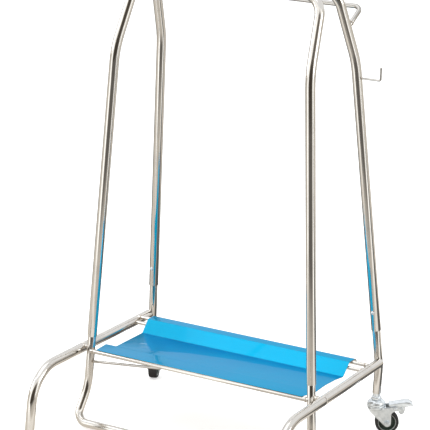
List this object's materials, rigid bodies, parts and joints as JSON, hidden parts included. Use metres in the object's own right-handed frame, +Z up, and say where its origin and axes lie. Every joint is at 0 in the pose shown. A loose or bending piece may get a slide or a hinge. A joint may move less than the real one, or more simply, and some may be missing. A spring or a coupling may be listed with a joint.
{
  "type": "linen trolley",
  "caption": "Tubular steel linen trolley: two inverted-U posts leaning together, bent front legs, a sheet tray, a push handle, a side hook and braked rear casters.",
  "frame": {"origin": "on the floor, under the middle of the bounding box", "axes": "+Z up, -Y towards the front legs, +X towards the side hook"},
  "size_m": [0.6712, 0.5334, 0.9599],
  "materials": {
    "stainless_tube": "polished, mirror-like stainless tube",
    "blue_film_sheet": "glossy blue protective film over thin steel sheet",
    "zinc_plate": "bright zinc plate",
    "black_tyre": "matt dark rubber",
    "hub_plastic": "moulded dark green-grey",
    "foot_rubber": "matt rubber"
  },
  "bodies": {
    "frame": {"front_upper_frame": "stainless_tube", "rear_upper_frame": "stainless_tube", "front_lower_loop": "stainless_tube", "front_tray_rod": "stainless_tube", "rear_hook_rod": "stainless_tube", "rear_under_rod": "stainless_tube", "front_left_brace": "stainless_tube", "push_handle": "stainless_tube", "side_hook": "stainless_tube", "left_rear_leg": "stainless_tube", "left_rail": "stainless_tube", "left_front_leg": "stainless_tube", "left_rail_spigot": "stainless_tube", "left_foot_cap": "foot_rubber", "left_post_spacer": "stainless_tube", "left_top_tie": "stainless_tube", "left_caster_stem": "zinc_plate", "left_caster_cup": "zinc_plate", "front_left_post_screw": "zinc_plate", "rear_left_post_screw": "zinc_plate", "right_rear_leg": "stainless_tube", "right_rail": "stainless_tube", "right_front_leg": "stainless_tube", "right_rail_spigot": "stainless_tube", "right_foot_cap": "foot_rubber", "right_post_spacer": "stainless_tube", "right_top_tie": "stainless_tube", "right_caster_stem": "zinc_plate", "right_caster_cup": "zinc_plate", "front_right_post_screw": "zinc_plate", "rear_right_post_screw": "zinc_plate"},
    "tray": {"tray": "blue_film_sheet"},
    "left_swivel": {"left_fork": "zinc_plate", "left_ball_ring": "zinc_plate", "left_axle_bolt": "zinc_plate", "left_axle_nut": "zinc_plate", "left_pedal_rivet": "zinc_plate"},
    "left_wheel": {"left_wheel_hub": "hub_plastic", "left_tyre": "black_tyre"},
    "left_brake": {"left_brake_pedal": "zinc_plate", "left_shoe_rivet": "zinc_plate"},
    "right_swivel": {"right_fork": "zinc_plate", "right_ball_ring": "zinc_plate", "right_axle_bolt": "zinc_plate", "right_axle_nut": "zinc_plate", "right_pedal_rivet": "zinc_plate"},
    "right_wheel": {"right_wheel_hub": "hub_plastic", "right_tyre": "black_tyre"},
    "right_brake": {"right_brake_pedal": "zinc_plate", "right_shoe_rivet": "zinc_plate"}
  },
  "joints": [
    {"name": "tray_hinge", "type": "hinge", "parent": "frame", "child": "tray", "pos_m": [-0.01594, 0.14501, 0.1652], "axis": [-1, 0, 0], "range_deg": [0, 60]},
    {"name": "left_caster_swivel", "type": "hinge", "parent": "frame", "child": "left_swivel", "pos_m": [-0.29694, 0.19181, 0.06], "axis": [0, 0, 1], "continuous": true},
    {"name": "left_wheel_spin", "type": "hinge", "parent": "left_swivel", "child": "left_wheel", "pos_m": [-0.30541, 0.21276, 0.025], "axis": [-0.9272, -0.3746, 0], "continuous": true},
    {"name": "left_brake_press", "type": "hinge", "parent": "left_swivel", "child": "left_brake", "pos_m": [-0.31117, 0.22704, 0.0574], "axis": [-0.9272, -0.3746, 0], "range_deg": [0, 28]},
    {"name": "right_caster_swivel", "type": "hinge", "parent": "frame", "child": "right_swivel", "pos_m": [0.26506, 0.19181, 0.06], "axis": [0, 0, 1], "continuous": true},
    {"name": "right_wheel_spin", "type": "hinge", "parent": "right_swivel", "child": "right_wheel", "pos_m": [0.28423, 0.20379, 0.025], "axis": [-0.5299, 0.848, 0], "continuous": true},
    {"name": "right_brake_press", "type": "hinge", "parent": "right_swivel", "child": "right_brake", "pos_m": [0.29729, 0.21195, 0.0574], "axis": [-0.5299, 0.848, 0], "range_deg": [0, 28]}
  ]
}
